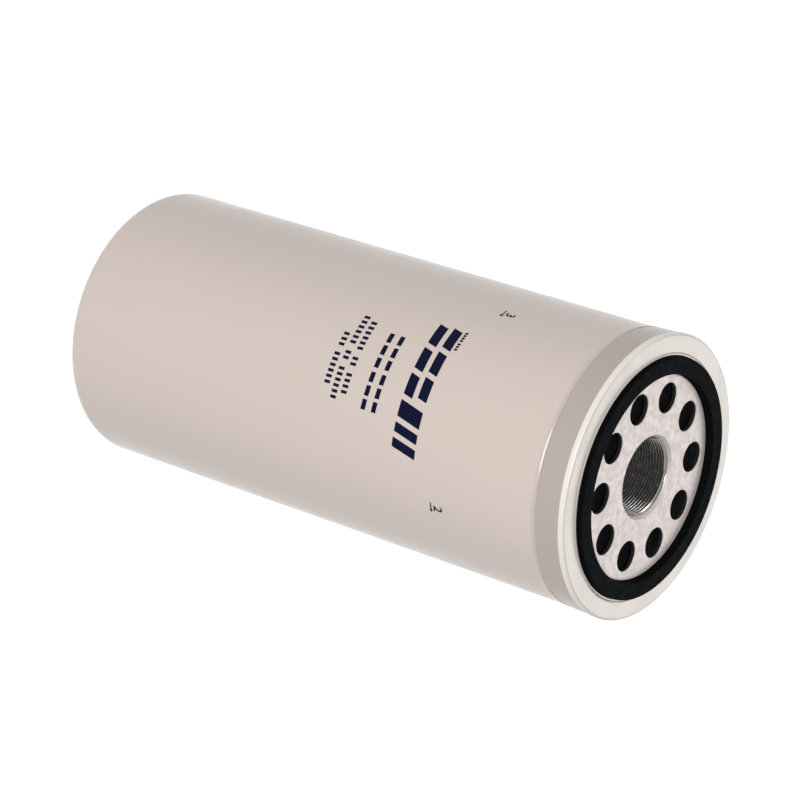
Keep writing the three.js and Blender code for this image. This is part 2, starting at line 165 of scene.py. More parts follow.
def turned(outline, segments=FINE, closed=True):
    """Vertices and faces of an outline turned about Z. It runs anticlockwise, material left."""
    vertices = []
    rings = []
    for r, z in outline:
        count = 1 if r < 1e-9 else segments
        rings.append(range(len(vertices), len(vertices) + count))
        for j in range(count):
            angle = 2 * math.pi * j / segments
            vertices.append((r * math.cos(angle), r * math.sin(angle), z))
    faces = []
    pairs = list(zip(rings, rings[1:] + rings[:1]))
    if not closed or outline[0][0] < 1e-9:
        pairs.pop()
    for low, high in pairs:
        for j in range(segments):
            k = (j + 1) % segments
            face = [low[j % len(low)], low[k % len(low)]]
            face += [high[k % len(high)], high[j % len(high)]]
            faces.append(list(dict.fromkeys(face)))
    return vertices, faces


def joined(*shapes):
    """Several lists of vertices and faces as one."""
    vertices = []
    faces = []
    for more_vertices, more_faces in shapes:
        faces += [[len(vertices) + i for i in face] for face in more_faces]
        vertices += more_vertices
    return vertices, faces


def mesh_of(name, shape, weld=0.0):
    """A mesh in metres from vertices in millimetres, with its nearest points welded."""
    vertices, faces = shape
    mesh = bpy.data.meshes.new(name)
    mesh.from_pydata([Vector(v) * MM for v in vertices], [], faces)
    if weld:
        work = bmesh.new()
        work.from_mesh(mesh)
        bmesh.ops.remove_doubles(work, verts=work.verts, dist=weld * MM)
        work.to_mesh(mesh)
        work.free()
    return mesh


def smooth(mesh, sharp_angle=32):
    """Shades a mesh smooth, with its corners kept sharp."""
    mesh.polygons.foreach_set("use_smooth", [True] * len(mesh.polygons))
    mesh.set_sharp_from_angle(angle=math.radians(sharp_angle))


def piece(name, mesh, finish, body, slot, *stands_for):
    """A piece of the object: smooth shaded, with its finish, riding on a CAD body."""
    smooth(mesh)
    mesh.materials.clear()
    mesh.materials.append(finish)
    made = bpy.data.objects.new(name, mesh)
    SCENE.collection.objects.link(made)
    weighted = made.modifiers.new("flat faces stay flat", "WEIGHTED_NORMAL")
    weighted.keep_sharp = True
    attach(made, body)
    if stands_for:
        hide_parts(*stands_for)
    return made


def lathe(name, corners, finish, body, slot, *stands_for, segments=FINE):
    """A piece turned from an outline with rounded corners."""
    mesh = mesh_of(name, turned(rounded(corners), segments))
    piece(name, mesh, finish, body, slot, *stands_for)


def without(mesh, cutter):
    """The mesh with the cutter's solids taken out of it."""
    blank = bpy.data.objects.new("blank", mesh)
    tool = bpy.data.objects.new("tool", cutter)
    for thing in (blank, tool):
        SCENE.collection.objects.link(thing)
    cut = blank.modifiers.new("cut", "BOOLEAN")
    cut.operation = "DIFFERENCE"
    cut.solver = "EXACT"
    cut.object = tool
    bpy.context.view_layer.update()
    result = blank.evaluated_get(bpy.context.evaluated_depsgraph_get())
    made = bpy.data.meshes.new_from_object(result)
    for thing in (blank, tool):
        bpy.data.objects.remove(thing)
    return made


# --- Materials -----------------------------------------------------------------------------------

class Finish:
    """A Principled material, with shortcuts for wiring procedural nodes into it."""

    def __init__(self, name, colour, roughness, **fixed):
        self.material = bpy.data.materials.new(name)
        self.material.use_nodes = True
        self.nodes = self.material.node_tree.nodes
        self.links = self.material.node_tree.links
        self.shader = self.nodes["Principled BSDF"]
        self.base = (*colour, 1)
        self.feed("Base Color", self.base)
        self.feed("Roughness", roughness)
        for socket, value in fixed.items():
            self.feed(socket.replace("_", " "), value)
        self.place = self.nodes.new("ShaderNodeTexCoord").outputs["Object"]
        self.normal = None

    def feed(self, socket, given):
        """Wires a node output into a socket, or sets the socket to a plain value."""
        target = self.shader.inputs[socket] if isinstance(socket, str) else socket
        if isinstance(given, bpy.types.NodeSocket):
            self.links.new(given, target)
        else:
            target.default_value = given

    def math(self, operation, *values):
        """A Math node of the values, each a number or a node output."""
        node = self.nodes.new("ShaderNodeMath")
        node.operation = operation
        for socket, value in zip(node.inputs, values):
            self.feed(socket, value)
        return node.outputs[0]

    def noise(self, size, detail=2.0, roughness=0.5, stretch=(1, 1, 1)):
        """Cloudy noise from 0 to 1, with blobs about size millimetres across."""
        mapping = self.nodes.new("ShaderNodeMapping")
        mapping.inputs["Scale"].default_value = stretch
        self.links.new(self.place, mapping.inputs["Vector"])
        node = self.nodes.new("ShaderNodeTexNoise")
        self.links.new(mapping.outputs[0], node.inputs["Vector"])
        self.feed(node.inputs["Scale"], 1 / (size * MM))
        self.feed(node.inputs["Detail"], detail)
        self.feed(node.inputs["Roughness"], roughness)
        return node.outputs[0]

    def cells(self, size):
        """Distance to the nearest of a scatter of points about size millimetres apart."""
        node = self.nodes.new("ShaderNodeTexVoronoi")
        self.links.new(self.place, node.inputs["Vector"])
        self.feed(node.inputs["Scale"], 1 / (size * MM))
        return node.outputs[0]

    def fade(self, source, start, end, low=0.0, high=1.0):
        """Smooth change from low to high as the source goes from start to end."""
        node = self.nodes.new("ShaderNodeMapRange")
        node.interpolation_type = "SMOOTHSTEP"
        for socket, value in zip(node.inputs, (source, start, end, low, high)):
            self.feed(socket, value)
        return node.outputs[0]

    def fade_mm(self, source, start, end, low=0.0, high=1.0):
        """As fade, for a length in metres, with its start and end in millimetres."""
        return self.fade(source, start * MM, end * MM, low, high)

    def axes(self):
        """The X, Y and Z of the surface point, in metres."""
        node = self.nodes.new("ShaderNodeSeparateXYZ")
        self.links.new(self.place, node.inputs[0])
        return node.outputs

    def radius(self):
        """Distance of the surface point from the filter's axis, in metres."""
        x, y, _ = self.axes()
        squares = [self.math("POWER", length, 2.0) for length in (x, y)]
        return self.math("SQRT", self.math("ADD", *squares))

    def angle(self):
        """Angle of the surface point round the filter's axis, in radians."""
        x, y, _ = self.axes()
        return self.math("ARCTAN2", y, x)

    def mixed(self, share, first, second):
        """The first colour where the share is 0, and the second where it is 1."""
        node = self.nodes.new("ShaderNodeMix")
        node.data_type = "RGBA"
        self.feed(node.inputs["Factor"], share)
        self.feed(node.inputs[6], first)
        self.feed(node.inputs[7], second)
        return node.outputs[2]

    def tint(self, share, colour):
        """Lays a colour over the base colour where share is high."""
        self.base = self.mixed(share, self.base, (*colour, 1))
        self.feed("Base Color", self.base)

    def bump(self, height, depth):
        """Raises the surface by depth millimetres where the height is 1."""
        node = self.nodes.new("ShaderNodeBump")
        self.feed(node.inputs["Distance"], depth * MM)
        self.feed(node.inputs["Height"], height)
        if self.normal is not None:
            self.links.new(self.normal, node.inputs["Normal"])
        self.normal = node.outputs[0]
        self.feed("Normal", self.normal)


def body_paint():
    """Cream enamel with slight orange peel: a neck painted darker as shade, a rim painted paler as
    a highlight, and chips at the fold.
    """
    paint = Finish("cream_enamel", (0.50, 0.43, 0.388), 0.2)
    _, _, height = paint.axes()
    radius = paint.radius()
    seam = LID - ROLL
    paint.tint(paint.fade(paint.noise(40, 3), 0.3, 0.7, 0, 0.35), (0.515, 0.443, 0.40))
    # The neck, from about the crease up to the rolled seam and on the outside only, is painted
    # darker as shade.
    neck = paint.fade_mm(height, CREASE - 3, CREASE + 2)
    neck = paint.math("MULTIPLY", neck, paint.fade_mm(height, seam - 0.7, seam + 0.3, 1, 0))
    neck = paint.math("MULTIPLY", neck, paint.fade_mm(radius, CAN_IN - 1, CAN_IN))
    paint.tint(neck, (0.36, 0.308, 0.272))
    # From the rolled seam's lower edge upwards the paint is painted paler as a highlight.
    rim_highlight = paint.fade_mm(height, seam - 0.3, seam + 0.5)
    paint.tint(rim_highlight, (0.66, 0.61, 0.565))
    # The lid's face is painted a little paler and greyer than the side, in place of the rim's
    # painted highlight.
    paint.tint(paint.fade_mm(height, LID - 0.5, LID - 0.1), (0.52, 0.475, 0.435))
    paint.tint(paint.fade(paint.cells(9), 0.02, 0.035, 0.5, 0), (0.30, 0.24, 0.20))
    from_middle = paint.math("ABSOLUTE", paint.math("SUBTRACT", paint.angle(), CHIPPED))
    from_fold = paint.math("ABSOLUTE", paint.math("SUBTRACT", radius, (FOLD + 0.3) * MM))
    chips = paint.fade(paint.noise(1.1, 4, 0.6), 0.5, 0.55)
    for place in (
        paint.fade(from_middle, CHIPPED_CORE, CHIPPED_REACH, 1, 0),
        paint.fade_mm(from_fold, 0.3, 0.6, 1, 0),
        paint.fade_mm(height, LID - 1, LID - 0.7),
    ):
        chips = paint.math("MULTIPLY", chips, place)
    paint.tint(chips, (0.035, 0.028, 0.022))
    gloss = paint.fade(paint.noise(12, 4), 0.3, 0.7, 0.16, 0.24)
    # The paint is rougher where the rim is painted as a highlight.
    paint.feed("Roughness", paint.math("ADD", gloss, paint.math("MULTIPLY", rim_highlight, 0.15)))
    paint.bump(paint.noise(1.8, 2), 0.0025)
    paint.bump(paint.noise(30, 1), 0.012)
    paint.bump(chips, -0.06)
    return paint.material


def printing_ink():
    """Screen-printed navy ink, a little uneven in density."""
    ink = Finish("navy_ink", (0.003, 0.0045, 0.022), 0.5, Specular_IOR_Level=0.04)
    ink.tint(ink.fade(ink.noise(1.2, 4), 0.45, 0.75, 0, 0.4), (0.007, 0.010, 0.036))
    ink.feed("Roughness", ink.fade(ink.noise(3, 3), 0.3, 0.7, 0.36, 0.5))
    ink.bump(ink.noise(0.4, 2), 0.004)
    return ink.material


def plate_steel():
    """Rolled, phosphated steel with a mottled grain: a bare tapped bore painted darker as shade,
    and the port walls and all below the face painted near black as shade.
    """
    steel = Finish("plate_steel", (0.435, 0.385, 0.372), 0.48, Metallic=0.25)
    _, _, height = steel.axes()
    radius = steel.radius()
    steel.tint(steel.fade(steel.noise(1.3, 5, 0.65), 0.35, 0.68, 0, 0.8), (0.495, 0.445, 0.422))
    steel.tint(steel.fade(steel.noise(0.45, 3), 0.5, 0.8, 0, 0.45), (0.28, 0.24, 0.232))
    # The tapped bore is bare metal, more metallic and smoother than the face; its colour is also
    # painted darker as the shade inside the bore.
    bore = steel.fade_mm(radius, THREAD_MAJOR + 0.2, THREAD_MAJOR + 0.4, 1, 0)
    steel.tint(bore, (0.27, 0.262, 0.254))
    # Below the face and outside the bore's lead-in, port walls included, the plate is painted near
    # black as shade.
    below_face = steel.fade_mm(height, BOSS_TOP - 0.55, BOSS_TOP - 0.25, 1, 0)
    past_lead_in = steel.fade_mm(radius, LEAD_IN + 0.05, LEAD_IN + 0.15)
    painted_shade_below_face = steel.math("MULTIPLY", below_face, past_lead_in)
    steel.tint(painted_shade_below_face, (0.012, 0.011, 0.011))
    steel.feed("Metallic", steel.fade(bore, 0, 1, 0.25, 0.9))
    rough = steel.fade(steel.noise(3, 4), 0.3, 0.7, 0.42, 0.58)
    steel.feed("Roughness", steel.math("SUBTRACT", rough, steel.math("MULTIPLY", bore, 0.3)))
    face = steel.math("SUBTRACT", 1.0, bore)
    steel.bump(steel.math("MULTIPLY", face, steel.noise(0.5, 3, 0.6)), 0.02)
    steel.bump(steel.math("MULTIPLY", face, steel.noise(1.4, 2, stretch=(1, 0.12, 1))), 0.012)
    return steel.material


def rubber(name, colour, bloom, roughness):
    """Moulded rubber: fine skin texture and a dusty bloom in patches."""
    made = Finish(name, colour, roughness, Specular_IOR_Level=0.005)
    made.tint(made.fade(made.noise(6, 4), 0.45, 0.75, 0, 0.6), bloom)
    rough = made.fade(made.noise(4, 3), 0.3, 0.7, roughness - 0.07, roughness + 0.08)
    made.feed("Roughness", rough)
    made.bump(made.noise(0.35, 3), 0.012)
    made.bump(made.noise(5, 2), 0.03)
    return made.material


def sheet_steel(name, colour, roughness):
    """Bright rolled sheet: long faint rolling lines and light handling marks."""
    made = Finish(name, colour, roughness, Metallic=1.0)
    made.tint(made.fade(made.noise(8, 4), 0.35, 0.7, 0, 0.5), [0.8 * c for c in colour])
    lines = made.noise(1.1, 3, stretch=(1, 0.05, 1))
    made.feed("Roughness", made.fade(lines, 0.3, 0.7, roughness - 0.06, roughness + 0.1))
    made.bump(lines, 0.006)
    return made.material


def spring_steel():
    """Drawn, blued wire with traces of drawing lines along the coils."""
    wire = Finish("spring_wire", (0.22, 0.22, 0.235), 0.34, Metallic=1.0)
    wire.tint(wire.fade(wire.noise(3, 4), 0.4, 0.75, 0, 0.7), (0.12, 0.10, 0.09))
    wire.feed("Roughness", wire.fade(wire.noise(1.5, 3), 0.3, 0.7, 0.28, 0.48))
    wire.bump(wire.noise(0.5, 2, stretch=(1, 1, 3)), 0.01)
    return wire.material


def filter_paper():
    """Resin-treated cellulose: matted fibres, and rows of embossed dimples."""
    paper = Finish("filter_paper", (0.56, 0.44, 0.25), 0.9, Sheen_Weight=0.15)
    fibres = paper.noise(0.5, 6, 0.7, stretch=(1, 1, 0.35))
    paper.tint(paper.fade(fibres, 0.4, 0.7, 0, 0.6), (0.68, 0.56, 0.36))
    paper.tint(paper.fade(paper.noise(15, 3), 0.4, 0.7, 0, 0.4), (0.50, 0.37, 0.19))
    paper.bump(fibres, 0.05)
    paper.bump(paper.fade(paper.cells(2.5), 0.1, 0.35), 0.12)
    return paper.material


def potting_resin():
    """Cast adhesive with small bubbles and a slightly wavy skin."""
    resin = Finish("potting_resin", (0.72, 0.68, 0.58), 0.42, Subsurface_Weight=0.1)
    resin.tint(resin.fade(resin.noise(7, 3), 0.4, 0.7, 0, 0.5), (0.62, 0.55, 0.42))
    resin.tint(resin.fade(resin.cells(3), 0.08, 0.14, 0.6, 0), (0.45, 0.39, 0.29))
    resin.bump(resin.fade(resin.cells(3), 0.08, 0.2), 0.08)
    resin.bump(resin.noise(4, 2), 0.08)
    return resin.material


PAINT = body_paint()
INK = printing_ink()
PLATE = plate_steel()
GASKET_RUBBER = rubber("gasket_rubber", (0.0035, 0.0038, 0.0046), (0.0055, 0.006, 0.0068), 0.5)
VALVE_RUBBER = rubber("valve_rubber", (0.006, 0.006, 0.007), (0.01, 0.01, 0.011), 0.6)
SEAL_RUBBER = rubber("seal_rubber", (0.05, 0.018, 0.01), (0.08, 0.035, 0.02), 0.55)
CAP_STEEL = sheet_steel("tinned_steel", (0.62, 0.62, 0.60), 0.3)
TUBE_STEEL = sheet_steel("tube_steel", (0.56, 0.56, 0.55), 0.36)
WIRE = spring_steel()
PAPER = filter_paper()
RESIN = potting_resin()


# --- Housing -------------------------------------------------------------------------------------

def can():
    """The drawn can: a standing ring at the closed end, a creased neck and a rolled rim."""
    ramp_end = BASE_RECESS_RADIUS + BASE_RAMP
    inner_corner = BASE_CORNER - CAN_WALL
    under = LID - CAN_WALL
    lathe("can_body", [
        (0, BASE_RECESS, 0),
        (BASE_RECESS_RADIUS, BASE_RECESS, 3),
        (ramp_end, 0, 2.5),
        (BODY, 0, BASE_CORNER),
        (BODY, CREASE - 4 * CREASE_REACH, 4),
        (BODY + BULGE, CREASE - CREASE_REACH, 1.0),
        (BODY - CREASE_DEPTH, CREASE, 0.6),
        (BODY + BULGE, CREASE + CREASE_REACH, 1.0),
        (RIM - ROLL_STEP, LID - ROLL - 0.5, 0.5),
        (RIM, LID - ROLL, 0.5),
        (RIM, LID, RIM_FILLET),
        (FOLD, LID, 0.4),
        (FOLD, under, 0.2),
        (RIM - CAN_WALL, under, 0.6),
        (CAN_IN, CREASE + CREASE_REACH, 1.2),
        (CAN_IN - CREASE_DEPTH, CREASE, 0.8),
        (CAN_IN, CREASE - CREASE_REACH, 1.2),
        (CAN_IN, CAN_WALL, inner_corner),
        (ramp_end, CAN_WALL, 2),
        (BASE_RECESS_RADIUS, BASE_RECESS + CAN_WALL, 3),
        (0, BASE_RECESS + CAN_WALL, 0),
    ], PAINT, "housing", "body_paint", "can_shell")


def seaming_lid():
    """The lid sheet: the gasket's channel, its outer wall and the hook under the can's fold."""
    face = LID - CAN_WALL - 0.3
    hook_in = LID_HOOK - SHEET
    lathe("lid_sheet", [
        (LID_IN, CHANNEL_FLOOR - SHEET, 0.2),
        (LID_WALL, CHANNEL_FLOOR - SHEET, 0.9),
        (LID_WALL, face - SHEET, 0.3),
        (hook_in, face - SHEET, 0.4),
        (hook_in, face - HOOK_DEPTH, 0.2),
        (LID_HOOK, face - HOOK_DEPTH, 0.2),
        (LID_HOOK, face, 0.7),
        (LID_WALL, face, 0.2),
        (LID_WALL, LID, 0.35),
        (CHANNEL, LID, 0.25),
        (CHANNEL, CHANNEL_FLOOR, 0.4),
        (LID_IN, CHANNEL_FLOOR, 0.2),
    ], PAINT, "housing", "body_paint", "seaming_lid")


def thread_radius(share):
    """Radius of the internal thread, share of a pitch past the middle of a root."""
    flank = 0.5 - ROOT_FLAT - CREST_FLAT
    from_root = abs(share - round(share))
    climbed = min(1, max(0, (from_root - ROOT_FLAT) / flank))
    return THREAD_MAJOR - THREAD_DEPTH * climbed


def tapped_bore():
    """The bore's surface: rows that follow the thread, cut off by the plate's two ends."""
    flank = 0.5 - ROOT_FLAT - CREST_FLAT
    up = [ROOT_FLAT + flank * k / 3 for k in range(4)]
    down = [1 - share for share in reversed(up[1:])]
    shares = [-ROOT_FLAT, *up, *down]
    turns = math.ceil((BOSS_TOP - HUB_LOW) / PITCH) + 2
    rows = [turn + share for turn in range(-1, turns) for share in shares]
    vertices = []
    for row in rows:
        for j in range(PLATE_SEGMENTS):
            around = j / PLATE_SEGMENTS
            z = min(BOSS_TOP, max(HUB_LOW, HUB_LOW + PITCH * (row + around)))
            lead_in = LEAD_IN - (BOSS_TOP - z)
            run_out = RUN_OUT - (z - HUB_LOW)
            r = max(thread_radius(row), lead_in, run_out)
            angle = 2 * math.pi * around
            vertices.append((r * math.cos(angle), r * math.sin(angle), z))
    faces = []
    last = len(rows) - 1
    for k in range(last):
        for j in range(PLATE_SEGMENTS):
            here = k * PLATE_SEGMENTS + j
            if j + 1 < PLATE_SEGMENTS:
                faces.append([here, here + PLATE_SEGMENTS, here + PLATE_SEGMENTS + 1, here + 1])
            elif k + 1 + len(shares) <= last:
                beyond = (k + len(shares)) * PLATE_SEGMENTS
                faces.append([here, here + PLATE_SEGMENTS, beyond + PLATE_SEGMENTS, beyond])
    return vertices, faces


def port_cutters():
    """Ten drills with flared ends, which leave the ports' edges rounded."""
    flare = 0.35
    arc = [math.radians(18 * k) for k in range(6)]
    rise = [(PORT + flare * (1 - math.cos(a)), flare * math.sin(a)) for a in arc]
    outline = [Vector((0, BOSS_UNDER - 1)), Vector((PORT + flare, BOSS_UNDER - 1))]
    outline += [Vector((r, BOSS_UNDER + flare - lift)) for r, lift in reversed(rise)]
    outline += [Vector((r, BOSS_TOP - flare + lift)) for r, lift in rise]
    outline += [Vector((PORT + flare, BOSS_TOP + 1)), Vector((0, BOSS_TOP + 1))]
    vertices, faces = turned(outline, 48)
    drills = []
    for i in range(PORTS):
        angle = PORT_START + 2 * math.pi * i / PORTS
        x = PORT_CIRCLE * math.cos(angle)
        y = PORT_CIRCLE * math.sin(angle)
        drills.append(([(vx + x, vy + y, vz) for vx, vy, vz in vertices], faces))
    return mesh_of("drills", joined(*drills))


def base_plate():
    """The stamped base plate with its hub, tapped bore and ten inlet ports."""
    flange_low = FLANGE_TOP - PLATE_SHEET
    outside = turned(rounded([
        (RUN_OUT, HUB_LOW, 0),
        (HUB, HUB_LOW, 1),
        (HUB, BOSS_UNDER, 1.2),
        (STEP, BOSS_UNDER, 1.0),
        (STEP, flange_low, 1.2),
        (PLATE_EDGE, flange_low, 0.3),
        (PLATE_EDGE, FLANGE_TOP, 0.5),
        (BOSS, FLANGE_TOP, 0.8),
        (BOSS, BOSS_TOP, 0.7),
        (LEAD_IN, BOSS_TOP, 0),
    ]), PLATE_SEGMENTS, closed=False)
    blank = mesh_of("base_plate_blank", joined(outside, tapped_bore()), weld=0.0005)
    mesh = without(blank, port_cutters())
    piece("threaded_plate", mesh, PLATE, "housing", "plate_steel", "base_plate")


def gasket():
    """The moulded sealing gasket: rounded, with a faint parting line and one flash nick."""
    line = (GASKET_LOW + GASKET_TOP) / 2 + 0.6
    flash = 0.12
    half = 0.15
    corners = [
        (GASKET_IN, GASKET_LOW, GASKET_CORNER),
        (GASKET_OUT, GASKET_LOW, GASKET_CORNER),
        (GASKET_OUT, line - half, 0.1),
        (GASKET_OUT + flash, line, 0.08),
        (GASKET_OUT, line + half, 0.1),
        (GASKET_OUT, GASKET_TOP, TOP_CORNER),
        (GASKET_IN, GASKET_TOP, TOP_CORNER),
        (GASKET_IN, line + half, 0.1),
        (GASKET_IN - flash, line, 0.08),
        (GASKET_IN, line - half, 0.1),
    ]
    mesh = mesh_of("gasket_ring", turned(rounded(corners)))
    for v in mesh.vertices:
        angle = math.atan2(v.co.y, v.co.x)
        inner = v.co.xy.length < (GASKET_IN + 1) * MM and v.co.z > (LID + 0.3) * MM
        if inner and abs(angle - NICK) < NICK_HALF:
            v.co.xy *= 1 + NICK_DEPTH / GASKET_IN
    piece("gasket_ring", mesh, GASKET_RUBBER, "housing", "gasket_rubber", "sealing_gasket")


def drainback_valve():
    """The rubber disc under the ports, thin at its lip and thick round the hub."""
    neck = VALVE_IN + 2.6
    disc_top = VALVE_TOP - 1.7
    disc_low = disc_top - 1.2
    lathe("drainback_disc", [
        (VALVE_IN, VALVE_LOW, 0.3),
        (neck, VALVE_LOW, 0.5),
        (neck + 1.2, disc_low, 0.6),
        (VALVE_OUT - 1.5, disc_low, 0.6),
        (VALVE_OUT, VALVE_TOP, 0.25),
        (VALVE_OUT - 1, VALVE_TOP, 0.25),
        (VALVE_OUT - 2.7, disc_top, 0.8),
        (neck + 1.2, disc_top, 0.5),
        (neck, VALVE_TOP - 0.3, 0.4),
        (VALVE_IN, VALVE_TOP - 0.3, 0.3),
    ], VALVE_RUBBER, "drainback_valve", "valve_rubber", "anti_drainback_valve")


def wound_wire(name, stands_for, body, reaches, low, top, turns, wire):
    """A coil spring between two heights.

    reaches are the radii of its middle line at the bottom and at the top, and wire is the radius
    of the wire.
    """
    sides = 14
    steps = round(48 * turns)
    bottom = low + wire
    height = top - wire - bottom
    vertices = []
    for i in range(steps + 1):
        share = i / steps
        angle = 2 * math.pi * turns * share
        radius = reaches[0] + (reaches[1] - reaches[0]) * share
        outward = Vector((math.cos(angle), math.sin(angle), 0))
        centre = outward * radius + Vector((0, 0, bottom + height * share))
        for k in range(sides):
            turn = 2 * math.pi * k / sides
            offset = outward * math.cos(turn) + Vector((0, 0, math.sin(turn)))
            vertices.append(centre + offset * wire)
    faces = [list(range(sides)), list(range(steps * sides, (steps + 1) * sides))[::-1]]
    for i in range(steps):
        for k in range(sides):
            a = i * sides + k
            b = i * sides + (k + 1) % sides
            faces.append([b, a, a + sides, b + sides])
    mesh = mesh_of(name, (vertices, faces))
    spring = piece(name, mesh, WIRE, body, "spring_steel", stands_for)
    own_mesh(spring)


# --- Printed marks -------------------------------------------------------------------------------

# Places on the can are arc lengths from the label's middle and depths below the lid plane.
INK_GAP = 0.012  # clear of the paint's smooth surface
INK_FILM = 0.04
READING = math.radians(-90)  # angle round the can at the label's middle
BOLD_LEFT = -41
BOLD_TOP = 85.5
BOLD_HEIGHT = 13.6
BOLD_SPACE = 2.7
BOLD_SPLIT = 2.8
BOLD_LEAN = 0.25
MARK_DEPTH = 74.2  # foot of the turning numbers
MARK_HEIGHT = 4.9
MARK_ANGLE = math.radians(40)  # from the label's middle to the number 2
ARROW_LENGTH = 5.4
ARROW_HEAD = 1.6
ARROW_BARB = 1.2  # half the width of the arrow's head
ARROW_SHAFT = 0.32  # half the width of the arrow's shaft
ARROW_DROP = 1.7  # from a number's foot to its arrow
CAPITAL = 0.72  # height of a numeral as a share of the font's size
STROKE = 0.11  # how far the font's strokes are thickened each way


def block(left, right, top, bottom, slant=0.0):
    """A block whose top leans forward by its height times the slant."""
    lean = slant * (bottom - top)
    return [(left, bottom), (right, bottom), (right + lean, top), (left + lean, top)]


def bold_row():
    """Heavy slanted blocks, some split in two, that fill a large name's place and spell nothing."""
    blocks = []
    left = BOLD_LEFT
    for width, split in ((11.5, 2), (11.0, 2), (10.5, 2), (8.0, 1), (4.6, 1), (4.6, 1)):
        tall = (BOLD_HEIGHT - (split - 1) * BOLD_SPLIT) / split
        for k in range(split):
            top = BOLD_TOP + k * (tall + BOLD_SPLIT)
            blocks.append(block(left, left + width, top, top + tall, BOLD_LEAN))
        left += width + BOLD_SPACE
    return blocks


def cell_row(left, words, top, height, cell, gap, space):
    """Small blocks in groups, as lines of fine print look from a distance."""
    blocks = []
    for count in words:
        for _ in range(count):
            blocks.append(block(left, left + cell, top, top + height))
            left += cell + gap
        left += space
    return blocks


def underline_arrow(centre):
    """The arrow under a turning number, pointing the way the filter is turned on."""
    depth = MARK_DEPTH + ARROW_DROP
    left = centre - ARROW_LENGTH / 2
    right = centre + ARROW_LENGTH / 2
    neck = right - ARROW_HEAD
    shaft = block(left, neck, depth - ARROW_SHAFT, depth + ARROW_SHAFT)
    head = [(neck, depth + ARROW_BARB), (right, depth), (neck, depth - ARROW_BARB)]
    return [shaft, head]


def numeral(character, along):
    """A flat mesh of one turning number, standing on its foot line."""
    text = bpy.data.curves.new("glyph", "FONT")
    text.body = character
    text.size = MARK_HEIGHT / CAPITAL
    text.align_x = "CENTER"
    text.offset = STROKE
    holder = bpy.data.objects.new("glyph", text)
    SCENE.collection.objects.link(holder)
    bpy.context.view_layer.update()
    shown = holder.evaluated_get(bpy.context.evaluated_depsgraph_get())
    flat = bpy.data.meshes.new_from_object(shown)
    flat.transform(Matrix.Translation((along, -MARK_DEPTH, 0)))
    bpy.data.objects.remove(holder)
    return flat


def wrap_marks(name, outlines, numerals=()):
    """Thin closed shapes of ink laid round the can, from outlines and flat meshes."""
    work = bmesh.new()
    for outline in outlines:
        corners = [work.verts.new((along, -depth, 0)) for along, depth in outline]
        work.faces.new(corners)
    for flat in numerals:
        work.from_mesh(flat)
    bmesh.ops.remove_doubles(work, verts=work.verts, dist=1e-4)
    raised = bmesh.ops.extrude_face_region(work, geom=list(work.faces))
    for v in [g for g in raised["geom"] if isinstance(g, bmesh.types.BMVert)]:
        v.co.z += INK_FILM
    low = min(v.co.x for v in work.verts)
    high = max(v.co.x for v in work.verts)
    step = 1.5
    for k in range(1, math.ceil((high - low) / step)):
        bmesh.ops.bisect_plane(
            work,
            geom=[*work.verts, *work.edges, *work.faces],
            plane_co=(low + k * step, 0, 0),
            plane_no=(1, 0, 0),
        )
    for v in work.verts:
        radius = BODY + INK_GAP + v.co.z
        angle = READING + v.co.x / BODY
        v.co = Vector((radius * math.cos(angle), radius * math.sin(angle), LID + v.co.y)) * MM
    bmesh.ops.recalc_face_normals(work, faces=work.faces)
    mesh = bpy.data.meshes.new(name)
    work.to_mesh(mesh)
    work.free()
    piece(name, mesh, INK, "housing", "body_paint")


def printing():
    """The label's generic blocks, and the four turning marks a quarter turn apart."""
    label = bold_row()
    label += cell_row(-40.5, (4, 3), 82.6, height=1.6, cell=1.1, gap=0.45, space=0.6)
    for top in (111.4, 117.6):
        label += cell_row(-28.4, (3, 3), top, height=2.6, cell=5.0, gap=1.65, space=0.6)
    for left, words, top, space in (
        (-31.4, (6, 2, 4), 130.0, 2.6),
        (-33.4, (6, 2, 6), 135.3, 2.6),
        (-22.4, (3, 6), 140.8, 2.2),
    ):
        label += cell_row(left, words, top, height=3.3, cell=1.5, gap=1.3, space=space)
    wrap_marks("label_print", label)
    quarter = BODY * math.pi / 2
    outlines = []
    numerals = []
    for i, character in enumerate("2341"):
        along = math.remainder(BODY * MARK_ANGLE - i * quarter, 4 * quarter)
        outlines += underline_arrow(along)
        numerals.append(numeral(character, along))
    wrap_marks("turning_marks", outlines, numerals)


# --- Element -------------------------------------------------------------------------------------

